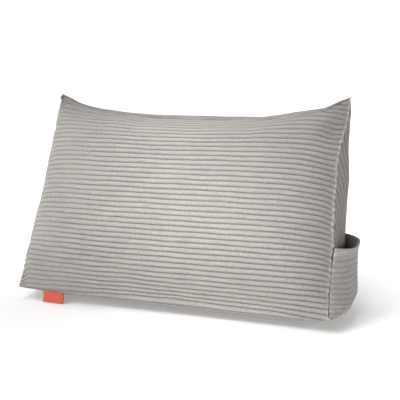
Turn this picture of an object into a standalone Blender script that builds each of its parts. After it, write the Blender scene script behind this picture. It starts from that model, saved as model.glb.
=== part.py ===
"""Backrest pillow: a filled wedge of wide-wale corduroy with a pocket on one side.

The front faces -Y, +X is the pillow's right as seen from the front, and Z = 0 is
the surface it stands on. The origin lies on the flat part of its base.
All sizes are in metres.
"""
import math

import bpy
import bmesh
import numpy as np
from mathutils import Vector
from mathutils.geometry import delaunay_2d_cdt

# Outline of the side panels, at the seams
HALF_WIDTH = 0.300
FRONT_SEAM_Y = -0.114
BACK_SEAM_Y = 0.073
SEAM_Z = 0.025
EAR_Z = 0.391
SIDE_DRAW_IN = 0.0086

# Ridge seam between the front and the back, which sags between the two ears
RIDGE_SAG = 0.039
RIDGE_SET_BACK = 0.019
RIDGE_FLATNESS = 4.0

# How far the front bottom seam hangs below its corners, and how soon
SEAM_DIP = 0.0035
SEAM_DIP_POWER = 14.0

# Crown of the filled front: its height, its rounding up the panel and across it
FRONT_CROWN = 0.0755
FRONT_RISE_POWER = 5.93
FRONT_RISE_ROUND = 1.89
ACROSS_POWER = 5.42
ACROSS_ROUND = 0.552

# Crown of the filled back
BACK_CROWN = 0.040
BACK_RISE_POWER = 2.4
BACK_RISE_ROUND = 0.85

# Crown of the side panels, reached within SIDE_ROLL of their seams
SIDE_CROWN = 0.011
SIDE_ROLL = 0.048
SIDE_ROUND = 0.75

# Flat part of the base, and how far its ends are lifted at the side seams
REST_FRONT_Y = -0.054
REST_BACK_Y = 0.046
REST_HALF_SHARE = 0.79
END_LIFT = 0.008
BASE_CURVE = 1.3

# Corduroy
WALE_PITCH = 0.0099
WALE_DEPTH = 0.0021
FRONT_WALES = 44.9
FRONT_FIRST_GROOVE = 0.42
SEAM_FADE = 0.5
FADE_START = 0.94
CORNER_RUN_OUT = 0.030

# Rows of points in one wale, as (share of the pitch from a groove, height share)
FULL_WALE = ((0.0, -1.0), (0.28, 0.0), (0.72, 0.0))
PLAIN_WALE = ((0.0, -1.0), (0.5, 0.0))

# Share of a wale next to a seam that gets no row of its own
ROW_CLEAR = 0.15

# Stations across half of the width, as shares of it
HALF_STATIONS = (0.28, 0.50, 0.66, 0.79, 0.88, 0.94, 0.98, 1.0)

# Points along a wale of the side panels
SIDE_POINT_STEP = 0.050
SIDE_EDGE_CLEAR = 0.006

# Pocket on the right side
POCKET_MOUTH_Z = 0.140
POCKET_THICKNESS = 0.0030
POCKET_WALE_DEPTH = 0.0013
POCKET_HEM_WALES = 1.5
POCKET_SEAT = 0.0008
POCKET_SEAM_INSET = 0.0015
POCKET_GAPE = 0.0245
POCKET_BELLY = 0.0225
POCKET_ACROSS_POWER = 4.5
POCKET_FLOOR_ROLL = 0.050
POCKET_FLOOR_POWER = 2.2
POCKET_EDGE_FADE = 0.06
POCKET_COLUMNS = 14

# Label in the front bottom seam
LABEL_WIDTH = 0.044
LABEL_DROP = 0.0200
LABEL_THICKNESS = 0.0012
LABEL_CENTRE_X = -0.2255
LABEL_CLEAR = 0.0007
LABEL_SWING = 0.004
LABEL_ROWS = 4
LABEL_COLUMNS = 6

# Steps of a panel's smooth curve, and how many of them the side's outline skips
CURVE_STEPS = 160
OUTLINE_SKIP = 8

# Edges whose faces meet at a sharper angle than this stay crisp
CREASE_ANGLE = math.radians(60.0)

# Points closer than this count as one when a side panel is meshed
MERGE_DISTANCE = 1e-7

CORDUROY_COLOUR = (0.42, 0.40, 0.38, 1.0)
LABEL_COLOUR = (0.66, 0.15, 0.08, 1.0)


def smooth(value):
    """A soft step from 0 at 0 to 1 at 1."""
    value = np.clip(value, 0.0, 1.0)
    return value * value * (3.0 - 2.0 * value)


def make_material(name, colour, roughness):
    """A plain matt cloth material."""
    material = bpy.data.materials.new(name)
    material.use_nodes = True
    shader = material.node_tree.nodes["Principled BSDF"]
    shader.inputs["Base Color"].default_value = colour
    shader.inputs["Roughness"].default_value = roughness
    shader.inputs["Metallic"].default_value = 0.0
    return material


def add_object(name, mesh_data, material):
    """One named object from a bmesh, with its faces pointing out."""
    bmesh.ops.recalc_face_normals(mesh_data, faces=mesh_data.faces)
    mesh = bpy.data.meshes.new(name)
    mesh_data.to_mesh(mesh)
    mesh_data.free()
    mesh.shade_smooth()
    mesh.set_sharp_from_angle(angle=CREASE_ANGLE)
    mesh.materials.append(material)
    made = bpy.data.objects.new(name, mesh)
    bpy.context.scene.collection.objects.link(made)
    return made


def draw_in(rise):
    """How far a side seam is pulled in, at a share of its height."""
    rise = np.clip(rise, 0.0, 1.0)
    return SIDE_DRAW_IN * (1.0 - (2.0 * rise - 1.0) ** 2)


def ridge_point(across):
    """Where the ridge seam passes a section, as (y, z)."""
    sag = 1.0 - abs(across) ** RIDGE_FLATNESS
    return BACK_SEAM_Y + RIDGE_SET_BACK * sag, EAR_Z - RIDGE_SAG * sag


def across_share(across):
    """How much of the full crown a section has."""
    return max(1.0 - abs(across) ** ACROSS_POWER, 0.0) ** ACROSS_ROUND


def crowned_panel(start, end, crown, power, rounding):
    """Rows of (y, z, rise) from start to end, bulging to the left of the way."""
    rise = (1.0 - np.cos(np.linspace(0.0, math.pi, CURVE_STEPS + 1))) / 2.0
    step = np.subtract(end, start)
    normal = np.array((-step[1], step[0])) / np.hypot(*step)
    bulge = crown * (1.0 - np.abs(2.0 * rise - 1.0) ** power) ** rounding
    points = np.asarray(start) + rise[:, None] * step + bulge[:, None] * normal
    return np.column_stack((points, rise))


def front_seam_z(across):
    """How high the front bottom seam is at a section."""
    return SEAM_Z - SEAM_DIP * (1.0 - abs(across) ** SEAM_DIP_POWER)


def front_curve(across):
    """Front panel of one section, from the bottom seam up to the ridge seam."""
    crown = FRONT_CROWN * across_share(across)
    return crowned_panel((FRONT_SEAM_Y, front_seam_z(across)), ridge_point(across), crown,
                         FRONT_RISE_POWER, FRONT_RISE_ROUND)


def back_curve(across):
    """Back panel of one section, from the ridge seam down to the bottom seam."""
    crown = BACK_CROWN * across_share(across)
    curve = crowned_panel(ridge_point(across), (BACK_SEAM_Y, SEAM_Z), crown,
                          BACK_RISE_POWER, BACK_RISE_ROUND)
    curve[:, 2] = 1.0 - curve[:, 2]
    return curve


def base_curve(across, seam_y, seam_z, rest_y):
    """Base panel of one section, from a bottom seam in to the flat part."""
    floor = END_LIFT * float(smooth((abs(across) - REST_HALF_SHARE) / (1.0 - REST_HALF_SHARE)))
    share = np.linspace(0.0, 1.0, CURVE_STEPS + 1)
    y = seam_y + (rest_y - seam_y) * share
    z = floor + (seam_z - floor) * (1.0 - share) ** BASE_CURVE
    return np.column_stack((y, z, np.zeros_like(y)))


def wale_rows(wales, first_groove, pattern):
    """Rows of one panel as (share of its length, height share), without its ends."""
    rows = []
    for wale in range(-1, math.ceil(wales) + 1):
        for place, height in pattern:
            share = (wale + first_groove + place) / wales
            if ROW_CLEAR / wales < share < 1.0 - ROW_CLEAR / wales:
                rows.append((share, height))
    return rows


def lengths_along(curve):
    """How far along a curve each of its points is."""
    steps = np.hypot(*np.diff(curve[:, :2], axis=0).T)
    return np.concatenate(((0.0,), np.cumsum(steps)))


def ribbed(curve, rows, edge, outward):
    """Points (y, z, rise) of a curve at the rows' shares, with grooves.

    The grooves are shallower at the side seams, where edge is 1, and run out
    there before a corner.
    """
    length = lengths_along(curve)
    shares = np.array([row[0] for row in rows]) * length[-1]
    corner = 1.0 - smooth(np.minimum(shares, length[-1] - shares) / CORNER_RUN_OUT)
    depth = WALE_DEPTH * (1.0 - edge * SEAM_FADE) * (1.0 - edge * corner)
    heights = np.array([row[1] for row in rows]) * depth
    tangent = np.gradient(curve[:, :2], length, axis=0)
    normal = outward * np.column_stack((-tangent[:, 1], tangent[:, 0]))
    normal /= np.hypot(normal[:, 0], normal[:, 1])[:, None]
    columns = np.column_stack((curve, normal))
    at_rows = np.column_stack([np.interp(shares, length, column) for column in columns.T])
    at_rows[:, :2] += at_rows[:, 3:5] * heights[:, None]
    return at_rows[:, :3]


def panel_rows():
    """The rows of every panel round the section, the same at every station."""
    back_wales = lengths_along(back_curve(0.0))[-1] / WALE_PITCH
    base_front = (REST_FRONT_Y - FRONT_SEAM_Y) / WALE_PITCH
    base_back = math.hypot(BACK_SEAM_Y - REST_BACK_Y, SEAM_Z) / WALE_PITCH
    return {
        "front": wale_rows(FRONT_WALES, (FRONT_WALES - FRONT_FIRST_GROOVE) % 1.0, FULL_WALE),
        "back": wale_rows(back_wales, FRONT_FIRST_GROOVE, FULL_WALE),
        "base_front": wale_rows(base_front, 1.0, PLAIN_WALE),
        "base_back": wale_rows(base_back, 1.0, PLAIN_WALE),
    }


def section(across, rows):
    """One closed section as points (x, y, z), and the row where its flat part starts."""
    seam = [(0.0, 0.0)]
    rest = [(1.0, 0.0)]
    edge = float(smooth((abs(across) - FADE_START) / (1.0 - FADE_START)))
    front = ribbed(front_curve(across), seam + rows["front"], edge, 1.0)
    back = ribbed(back_curve(across), seam + rows["back"], edge, 1.0)
    behind = ribbed(base_curve(across, BACK_SEAM_Y, SEAM_Z, REST_BACK_Y),
                    seam + rows["base_back"] + rest, edge, 1.0)
    ahead = ribbed(base_curve(across, FRONT_SEAM_Y, front_seam_z(across), REST_FRONT_Y),
                   rows["base_front"] + rest, edge, -1.0)[::-1]
    ring = np.vstack((front, back, behind, ahead))
    x = across * (HALF_WIDTH - draw_in(ring[:, 2]))
    rest_row = len(front) + len(back) + len(behind) - 1
    return np.column_stack((x, ring[:, :2])), rest_row


def distance_to(points, ring):
    """Shortest distance from each point to a closed ring of (y, z) points."""
    start = ring[None, :, :]
    step = np.roll(ring, -1, axis=0)[None, :, :] - start
    offset = points[:, None, :] - start
    along = (offset * step).sum(axis=2) / (step * step).sum(axis=2)
    nearest = offset - np.clip(along, 0.0, 1.0)[:, :, None] * step
    return np.hypot(nearest[:, :, 0], nearest[:, :, 1]).min(axis=1)


def side_outline():
    """The side panel's outline at its seams, as (y, z) points without wales."""
    front = front_curve(1.0)[::OUTLINE_SKIP, :2]
    back = back_curve(1.0)[::OUTLINE_SKIP, :2]
    behind = base_curve(1.0, BACK_SEAM_Y, SEAM_Z, REST_BACK_Y)[::OUTLINE_SKIP, :2]
    ahead = base_curve(1.0, FRONT_SEAM_Y, SEAM_Z, REST_FRONT_Y)[::-OUTLINE_SKIP, :2]
    return np.vstack((front[:-1], back[:-1], behind, ahead[:-1]))


def side_x(points):
    """How far out the right side panel lies at its (y, z) points, at the wales' tops."""
    rise = (points[:, 1] - SEAM_Z) / (EAR_Z - SEAM_Z)
    inside = np.clip(distance_to(points, side_outline()) / SIDE_ROLL, 0.0, 1.0)
    crown = SIDE_CROWN * (1.0 - (1.0 - inside) ** 2) ** SIDE_ROUND
    return HALF_WIDTH - draw_in(rise) + crown


def front_seam_y(z):
    """Where the side panel's front seam is at a height."""
    return FRONT_SEAM_Y + (z - SEAM_Z) * (BACK_SEAM_Y - FRONT_SEAM_Y) / (EAR_Z - SEAM_Z)


def bottom_seam_z(y):
    """Where the side panel's bottom seam is at a place along it."""
    ahead = base_curve(1.0, FRONT_SEAM_Y, SEAM_Z, REST_FRONT_Y)
    behind = base_curve(1.0, BACK_SEAM_Y, SEAM_Z, REST_BACK_Y)[::-1]
    edge = np.vstack((ahead, behind))
    return np.interp(y, edge[:, 0], edge[:, 1])


def side_wales():
    """Chains of points inside the side panel, along its wales, as (y, z, height)."""
    chains = []
    slope = (EAR_Z - SEAM_Z) / (BACK_SEAM_Y - FRONT_SEAM_Y)
    width = (BACK_SEAM_Y - FRONT_SEAM_Y) / WALE_PITCH
    for share, height in wale_rows(width, 0.0, FULL_WALE):
        y = BACK_SEAM_Y - share * (BACK_SEAM_Y - FRONT_SEAM_Y)
        low = float(bottom_seam_z(y)) + SIDE_EDGE_CLEAR
        high = SEAM_Z + (y - FRONT_SEAM_Y) * slope - SIDE_EDGE_CLEAR * math.hypot(1.0, slope)
        if high - low < SIDE_EDGE_CLEAR:
            continue
        steps = max(2, round((high - low) / SIDE_POINT_STEP))
        places = (1.0 - np.cos(np.linspace(0.0, math.pi, steps + 1))) / 2.0
        chains.append([(y, low + (high - low) * place, height) for place in places])
    return chains


def add_side(mesh_data, ring, side):
    """Close one end of the pillow with its side panel, domed and ribbed."""
    outline = np.array([(v.co.y, v.co.z) for v in ring])
    chains = side_wales()
    inner = np.array([point for chain in chains for point in chain])
    edges = []
    first = len(ring)
    for chain in chains:
        edges += [(first + i, first + i + 1) for i in range(len(chain) - 1)]
        first += len(chain)
    flat = [Vector(point) for point in outline] + [Vector(point[:2]) for point in inner]
    loop = [tuple(range(len(ring)))]
    result = delaunay_2d_cdt(flat, edges, loop, 1, MERGE_DISTANCE)
    faces, origins = result[2], result[3]
    x = side_x(inner[:, :2]) + inner[:, 2] * WALE_DEPTH
    made = [mesh_data.verts.new((side * x[i], inner[i, 0], inner[i, 1])) for i in range(len(inner))]
    corners = list(ring) + made
    for face in faces:
        mesh_data.faces.new([corners[origins[i][0]] for i in face])


def build_cushion(material):
    """The filled wedge: front, back and base panels round it, and its two sides."""
    mesh_data = bmesh.new()
    rows = panel_rows()
    stations = [-share for share in reversed(HALF_STATIONS)] + [0.0] + list(HALF_STATIONS)
    rings = []
    for across in stations:
        points, rest_row = section(across, rows)
        rings.append([mesh_data.verts.new(point) for point in points])
    count = len(rings[0])
    rests = [i for i, across in enumerate(stations) if abs(across) <= REST_HALF_SHARE]
    for i in range(len(rings) - 1):
        for row in range(count):
            if row == rest_row and rests[0] <= i < rests[-1]:
                continue
            above = (row + 1) % count
            mesh_data.faces.new((rings[i][row], rings[i + 1][row],
                                 rings[i + 1][above], rings[i][above]))
    near = [rings[i][rest_row + 1] for i in rests]
    far = [rings[i][rest_row] for i in reversed(rests)]
    mesh_data.faces.new(near + far)
    add_side(mesh_data, rings[0], -1.0)
    add_side(mesh_data, rings[-1], 1.0)
    return add_object("cushion", mesh_data, material)


def pocket_gap(across, up):
    """How far the pocket stands off the side panel, by shares across and up."""
    width = 1.0 - np.abs(2.0 * across - 1.0) ** POCKET_ACROSS_POWER
    rise = np.clip(up * POCKET_MOUTH_Z / POCKET_FLOOR_ROLL, 0.0, 1.0)
    floor = 1.0 - (1.0 - rise) ** POCKET_FLOOR_POWER
    depth = POCKET_BELLY + (POCKET_GAPE - POCKET_BELLY) * up
    return POCKET_SEAT + depth * width * floor


def pocket_rows():
    """Rows up the pocket as (share, height share): wales, then the smooth hem."""
    wales = POCKET_MOUTH_Z / WALE_PITCH
    rows = [(0.0, 0.0)]
    for share, height in wale_rows(wales, 0.5, FULL_WALE):
        if share < 1.0 - (POCKET_HEM_WALES - ROW_CLEAR) / wales:
            rows.append((share, height))
    rows += [(1.0 - POCKET_HEM_WALES * 0.5 / wales, 0.0), (1.0, 0.0)]
    return rows


def pocket_points(rows, lift, groove):
    """A grid of pocket points (x, y, z), lifted off its inner face, with grooves."""
    grid = []
    across = (1.0 - np.cos(np.linspace(0.0, math.pi, POCKET_COLUMNS + 1))) / 2.0
    for up, height in rows:
        ahead = front_seam_y(SEAM_Z + (POCKET_MOUTH_Z - SEAM_Z) * up) + POCKET_SEAM_INSET
        y = ahead + (BACK_SEAM_Y - POCKET_SEAM_INSET - ahead) * across
        low = bottom_seam_z(y) + POCKET_SEAM_INSET
        z = low + (POCKET_MOUTH_Z - low) * up
        x = side_x(np.column_stack((y, z))) + pocket_gap(across, up)
        fade = smooth(np.minimum(across, 1.0 - across) / POCKET_EDGE_FADE)
        x = x + lift + height * groove * fade
        grid.append(np.column_stack((x, y, z)))
    return np.array(grid)


def add_sheet(name, outer, inner, material):
    """A sheet of cloth between two grids of points, closed round its four edges."""
    mesh_data = bmesh.new()
    up_count, across_count = outer.shape[:2]
    sides = []
    for grid in (outer, inner):
        verts = [[mesh_data.verts.new(point) for point in line] for line in grid]
        sides.append(verts)
        for i in range(up_count - 1):
            for j in range(across_count - 1):
                mesh_data.faces.new((verts[i][j], verts[i][j + 1],
                                     verts[i + 1][j + 1], verts[i + 1][j]))
    rim = [(0, j) for j in range(across_count)]
    rim += [(i, across_count - 1) for i in range(1, up_count)]
    rim += [(up_count - 1, j) for j in reversed(range(across_count - 1))]
    rim += [(i, 0) for i in reversed(range(1, up_count - 1))]
    for (i, j), (k, m) in zip(rim, rim[1:] + rim[:1]):
        mesh_data.faces.new((sides[0][i][j], sides[0][k][m], sides[1][k][m], sides[1][i][j]))
    return add_object(name, mesh_data, material)


def build_pocket(material):
    """The pocket: one sheet with an open mouth, sewn at its front, bottom and back."""
    rows = pocket_rows()
    outer = pocket_points(rows, POCKET_THICKNESS, POCKET_WALE_DEPTH)
    inner = pocket_points(rows, 0.0, 0.0)
    return add_sheet("side_pocket", outer, inner, material)


def build_label(material):
    """The folded label: a short tab that hangs from the front bottom seam."""
    down, across = np.meshgrid(np.linspace(0.0, 1.0, LABEL_ROWS + 1),
                               np.linspace(-0.5, 0.5, LABEL_COLUMNS + 1), indexing="ij")
    x = LABEL_CENTRE_X + across * LABEL_WIDTH
    y = FRONT_SEAM_Y - LABEL_SWING * down * down
    z = front_seam_z(LABEL_CENTRE_X / HALF_WIDTH) - LABEL_CLEAR - LABEL_DROP * down
    half = LABEL_THICKNESS / 2.0
    ahead = np.stack((x, y - half, z), axis=2)
    behind = np.stack((x, y + half, z), axis=2)
    return add_sheet("label", ahead, behind, material)


def main():
    for old in list(bpy.data.objects):
        bpy.data.objects.remove(old, do_unlink=True)
    corduroy = make_material("corduroy", CORDUROY_COLOUR, 0.95)
    ribbon = make_material("ribbon", LABEL_COLOUR, 0.6)
    build_cushion(corduroy)
    build_pocket(corduroy)
    build_label(ribbon)


main()
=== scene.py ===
"""Looks of the backrest pillow: a filled corduroy wedge, its side pocket and its blank label.

All sizes are in metres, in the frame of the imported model: the front faces -Y, +X is
the pillow's right as seen from the front, and Z = 0 is the surface it stands on.
"""
import math

import bpy
import bmesh
import numpy as np
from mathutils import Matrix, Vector
from mathutils.geometry import delaunay_2d_cdt


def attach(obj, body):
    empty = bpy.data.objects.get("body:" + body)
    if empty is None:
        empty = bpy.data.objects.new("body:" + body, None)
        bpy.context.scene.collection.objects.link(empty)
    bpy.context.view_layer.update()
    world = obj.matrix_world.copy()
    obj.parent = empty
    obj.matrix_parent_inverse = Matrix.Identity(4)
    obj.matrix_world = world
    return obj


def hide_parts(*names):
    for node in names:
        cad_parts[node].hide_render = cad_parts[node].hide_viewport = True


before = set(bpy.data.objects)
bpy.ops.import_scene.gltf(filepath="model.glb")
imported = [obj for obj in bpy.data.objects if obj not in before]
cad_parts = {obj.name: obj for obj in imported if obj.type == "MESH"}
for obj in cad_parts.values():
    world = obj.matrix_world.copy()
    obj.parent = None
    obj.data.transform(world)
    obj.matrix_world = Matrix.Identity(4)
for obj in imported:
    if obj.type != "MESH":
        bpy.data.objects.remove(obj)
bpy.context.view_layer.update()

# Outline of the side panels, at the seams
HALF_WIDTH = 0.300
FRONT_SEAM_Y = -0.114
BACK_SEAM_Y = 0.073
SEAM_Z = 0.025
EAR_Z = 0.391
SIDE_DRAW_IN = 0.0086

# Ridge seam between the front and the back, which sags between the two ears
RIDGE_SAG = 0.039
RIDGE_SET_BACK = 0.019
RIDGE_FLATNESS = 4.0

# How far the front bottom seam hangs below its corners, and how soon
SEAM_DIP = 0.0035
SEAM_DIP_POWER = 14.0

# Crown of the filled front, back and sides
FRONT_CROWN = 0.0755
FRONT_RISE_POWER = 5.93
FRONT_RISE_ROUND = 1.89
ACROSS_POWER = 5.42
ACROSS_ROUND = 0.552
TOP_POWER = 3.8
TOP_ROUND = 0.95
TOP_START = 0.25
TOP_REACH = 0.60
BACK_CROWN = 0.040
BACK_RISE_POWER = 2.4
BACK_RISE_ROUND = 0.85
SIDE_CROWN = 0.011
SIDE_ROLL = 0.048
SIDE_ROUND = 0.75
SIDE_SWELL = 0.005
SIDE_SWELL_Z = 0.250
SIDE_SWELL_REACH = 0.075

# Flat part of the base, and how far its ends are lifted at the side seams
REST_FRONT_Y = -0.054
REST_BACK_Y = 0.046
REST_HALF_SHARE = 0.79
END_LIFT = 0.008
BASE_CURVE = 1.3

# Corduroy: pitch and depth of the wales, and how sharp their crests and grooves are
WALE_PITCH = 0.0099
WALE_DEPTH = 0.0029
FRONT_WALES = 44.9
FRONT_FIRST_GROOVE = 0.42
CREST_PLACE = 0.56
CREST_POWER = 2.0
CREST_ROUND = 0.62
FINE_PHASES = (0.0, 0.055, 0.15, 0.31, 0.5, 0.69, 0.85, 0.945)
COARSE_PHASES = (0.0, 0.09, 0.27, 0.5, 0.73, 0.91)
BASE_PHASES = (0.0, 0.3, 0.7)
ROW_CLEAR = 0.05

# Distances of the columns from a side seam; further in they are COLUMN_STEP apart
NEAR_COLUMNS = (0.0, 0.00015, 0.0006, 0.0013, 0.0024, 0.0038, 0.0056, 0.0078, 0.0102, 0.0128,
                0.0158, 0.0192, 0.023, 0.0275, 0.0325, 0.038, 0.044, 0.050, 0.056)
COLUMN_STEP = 0.0061

CURVE_STEPS = 420
OUTLINE_SKIP = 10
RISES = (1.0 - np.cos(np.linspace(0.0, math.pi, CURVE_STEPS + 1))) / 2.0


def smooth(value):
    """A soft step from 0 at 0 to 1 at 1."""
    value = np.clip(value, 0.0, 1.0)
    return value * value * (3.0 - 2.0 * value)


def ramp(value, start, span):
    """A soft step from 0 at start to 1 at start + span."""
    return smooth((value - start) / span)


def waves(points, terms):
    """A smooth random-looking field from fixed waves, as (amplitude, direction, phase)."""
    total = np.zeros(points.shape[:-1])
    for amplitude, direction, phase in terms:
        total += amplitude * np.sin(points @ np.asarray(direction) + phase)
    return total


SOFT_WAVES = (
    (0.40, (31.0, 12.0, 23.0), 0.4),
    (0.34, (-22.0, 17.0, 41.0), 1.9),
    (0.30, (47.0, -9.0, -35.0), 3.1),
    (0.22, (68.0, 21.0, 17.0), 4.6),
    (0.18, (-59.0, 33.0, 66.0), 0.9),
    (0.14, (83.0, -41.0, 52.0), 2.7),
)


def draw_in(rise):
    rise = np.clip(rise, 0.0, 1.0)
    return SIDE_DRAW_IN * (1.0 - (2.0 * rise - 1.0) ** 2)


def ridge_points(across):
    """Where the ridge seam passes each section, as rows of (y, z)."""
    sag = 1.0 - np.abs(across) ** RIDGE_FLATNESS
    return np.column_stack((BACK_SEAM_Y + RIDGE_SET_BACK * sag, EAR_Z - RIDGE_SAG * sag))


def front_seam_points(across):
    """Where the front bottom seam passes each section, as rows of (y, z)."""
    z = SEAM_Z - SEAM_DIP * (1.0 - np.abs(across) ** SEAM_DIP_POWER)
    return np.column_stack((np.full_like(z, FRONT_SEAM_Y), z))


def back_seam_points(across):
    return np.column_stack((np.full_like(across, BACK_SEAM_Y), np.full_like(across, SEAM_Z)))


def across_share(across, power, rounding):
    return np.clip(1.0 - np.abs(across) ** power, 0.0, 1.0) ** rounding


def crowned(start, end, crown, power, rounding):
    """Curves from start to end, one a section, that bulge to the left of their way."""
    step = end - start
    normal = np.column_stack((-step[:, 1], step[:, 0])) / np.hypot(step[:, 0], step[:, 1])[:, None]
    bulge = (1.0 - np.abs(2.0 * RISES - 1.0) ** power) ** rounding
    points = start[:, None, :] + RISES[None, :, None] * step[:, None, :]
    return points + (crown * bulge[None, :])[:, :, None] * normal[:, None, :]


def front_curves(across):
    """The front of each section, rounder towards the right end of its top."""
    plain = across_share(across, ACROSS_POWER, ACROSS_ROUND)[:, None]
    rounder = across_share(across, TOP_POWER, TOP_ROUND)[:, None]
    mix = smooth((RISES - TOP_START) / TOP_REACH)[None, :] * (across > 0.0)[:, None]
    points = crowned(front_seam_points(across), ridge_points(across),
                     FRONT_CROWN * (plain + (rounder - plain) * mix), FRONT_RISE_POWER, FRONT_RISE_ROUND)
    return points, RISES


def back_curves(across):
    crown = BACK_CROWN * across_share(across, ACROSS_POWER, ACROSS_ROUND)[:, None]
    points = crowned(ridge_points(across), back_seam_points(across), crown, BACK_RISE_POWER, BACK_RISE_ROUND)
    return points, 1.0 - RISES


def base_curves(across, seam, rest_y):
    """Base panel of each section, from a bottom seam in to the flat part."""
    over = (np.abs(across) - REST_HALF_SHARE) / (1.0 - REST_HALF_SHARE)
    floor = END_LIFT * smooth(over)
    share = np.linspace(0.0, 1.0, CURVE_STEPS + 1)
    y = seam[:, :1] + (rest_y - seam[:, :1]) * share[None, :]
    z = floor[:, None] + (seam[:, 1:] - floor[:, None]) * (1.0 - share[None, :]) ** BASE_CURVE
    return np.stack((y, z), axis=2), np.zeros_like(share)


def resample(curves, rise, shares):
    """Points (y, z, rise) of each curve at its own shares of its length."""
    points = []
    for curve, wanted in zip(curves, shares):
        steps = np.hypot(*np.diff(curve, axis=0).T)
        length = np.concatenate(((0.0,), np.cumsum(steps)))
        places = wanted * length[-1]
        points.append(np.column_stack([np.interp(places, length, v)
                                       for v in (curve[:, 0], curve[:, 1], rise)]))
    return np.array(points)


def crest(phase):
    """Height of a wale from its groove, 0, to its crest, 1, at a phase of the pitch."""
    phase = phase % 1.0
    from_crest = np.where(phase < CREST_PLACE, 1.0 - phase / CREST_PLACE,
                          (phase - CREST_PLACE) / (1.0 - CREST_PLACE))
    return (1.0 - from_crest ** CREST_POWER) ** CREST_ROUND


def wale_rows(wales, first_groove, phases):
    """Rows of one panel as (share of its length, crest height), without its ends."""
    rows = []
    for wale in range(-1, math.ceil(wales) + 1):
        for phase in phases:
            share = (wale + first_groove + phase) / wales
            if ROW_CLEAR / wales < share < 1.0 - ROW_CLEAR / wales:
                rows.append((share, float(crest(phase))))
    return rows


def column_shares():
    """The columns' places across the pillow, from -1 at its left seam to 1."""
    inner = HALF_WIDTH - NEAR_COLUMNS[-1]
    count = round(inner / COLUMN_STEP)
    half = [inner * i / count for i in range(count)]
    half += [HALF_WIDTH - gap for gap in reversed(NEAR_COLUMNS)]
    half = np.array(half) / HALF_WIDTH
    return np.concatenate((-half[:0:-1], half))


# Courses of the front's wales: how far each runs above its even share of the panel, in
# thousandths, by powers of the place across (rows) and of the share up the panel
COURSE_POWERS = (0, 1, 2, 3, 6, 7, 16, 17)
SHARE_POWERS = (0, 1, 2, 3, 10, 24)
COURSE = (
    (15.3, -75.2, 177.3, -145.1, 30.6, 724.6),
    (5.9, -2.0, -5.4, -7.5, 94.0, -2.1),
    (-3.3, 74.5, -216.7, 242.9, 525.1, -105.5),
    (3.4, -34.7, 66.0, 127.2, -39.2, 19.7),
    (-35.5, 127.3, -88.8, -36.1, -764.8, -415.2),
    (-15.2, 85.0, -103.6, -160.0, -201.3, 50.2),
    (17.9, -139.4, -15.2, 237.9, 61.7, -155.2),
    (5.7, -48.2, 14.3, 100.7, 44.8, 71.0),
)
FOOT_POWERS = (0, 1, 2, 6, 16)
FOOT_COURSE = (9.0, 1.5, -32.0, 59.0, -44.2)
FOOT_REACH = 0.03
CUT_STEP = 0.00002

# Small drifts of the wales from those courses, in thousandths of the share: rows across,
# closer together towards the ends, and columns up
DRIFT = (
    (-2.3, -0.1, 0.4, -0.8, -2.2, -3.8, -3.0, -3.7, -2.2, -4.3, -0.9),
    (-3.4, 1.8, 1.2, -1.2, -1.2, -1.7, 1.9, -1.1, 1.3, -1.6, -0.5),
    (-3.9, -1.9, 3.6, -2.8, 0.8, -0.5, 1.6, -0.6, 1.5, -7.2, 0.9),
    (-2.9, 1.4, 1.6, -0.7, -0.9, 0.1, -0.4, 2.3, -8.7, -11.7, -0.7),
    (-6.0, -2.2, 1.4, -2.3, -0.3, -1.7, -2.7, 0.9, 0.8, 7.5, 10.6),
    (1.0, -1.8, 0.7, -2.0, -1.9, 1.1, 1.9, -1.9, -1.5, -11.0, -1.8),
    (-5.7, -3.7, 2.3, -1.8, 0.1, -3.0, -0.4, 3.1, -2.2, 0.4, 2.8),
    (-1.3, -3.5, 3.0, -3.0, 0.0, -0.3, -0.0, -3.9, -2.6, -7.7, -1.7),
    (-1.9, -2.7, 3.1, -1.6, 0.1, -0.6, 2.9, 2.2, -1.4, -5.4, 3.2),
    (-5.4, 3.4, 3.7, -3.1, -3.3, -0.1, -4.4, -1.1, 1.2, 2.7, -2.3),
    (-3.1, 0.6, -2.1, -3.1, 0.3, -1.8, 2.3, 1.7, 1.2, 0.1, -4.2),
)

# Hollows in the front beside its side seams: (side, share up the panel, distance from
# the seam, depth, half length along the seam, half width across it)
HOLLOWS = (
    (1.0, 0.80, 0.026, 0.0036, 0.020, 0.015),
    (1.0, 0.66, 0.012, 0.0020, 0.009, 0.012),
    (1.0, 0.53, 0.010, 0.0016, 0.008, 0.010),
    (1.0, 0.41, 0.012, 0.0020, 0.010, 0.012),
    (1.0, 0.28, 0.010, 0.0016, 0.008, 0.010),
    (1.0, 0.12, 0.012, 0.0024, 0.007, 0.016),
    (1.0, 0.045, 0.022, 0.0022, 0.006, 0.022),
    (-1.0, 0.93, 0.030, 0.0030, 0.008, 0.020),
    (-1.0, 0.968, 0.072, 0.0045, 0.0045, 0.006),
    (-1.0, 0.80, 0.012, 0.0020, 0.009, 0.012),
    (-1.0, 0.62, 0.010, 0.0016, 0.010, 0.010),
    (-1.0, 0.44, 0.010, 0.0018, 0.008, 0.012),
    (-1.0, 0.24, 0.010, 0.0018, 0.010, 0.012),
    (-1.0, 0.08, 0.014, 0.0020, 0.008, 0.014),
)

# Seams: depth and reach of the pinch beside them, and the pitch of its puckers, each set of
# them as (mean, swing, wander, pace of the wander)
SEAM_PINCH = 0.0008
SIDE_PINCH = 0.6 * SEAM_PINCH
SEAM_PINCH_REACH = 0.0045
SEAM_PINCH_POWER = 1.3
PUCKER_PITCH = 0.0125
CROSS_SEAM_PUCKERS = (0.75, 0.25, 1.7, 31.0)
SIDE_SEAM_PUCKERS = (0.5, 0.5, 1.9, 27.0)
SIDE_PANEL_PUCKERS = (0.7, 0.3, 1.9, 27.0)

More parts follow.
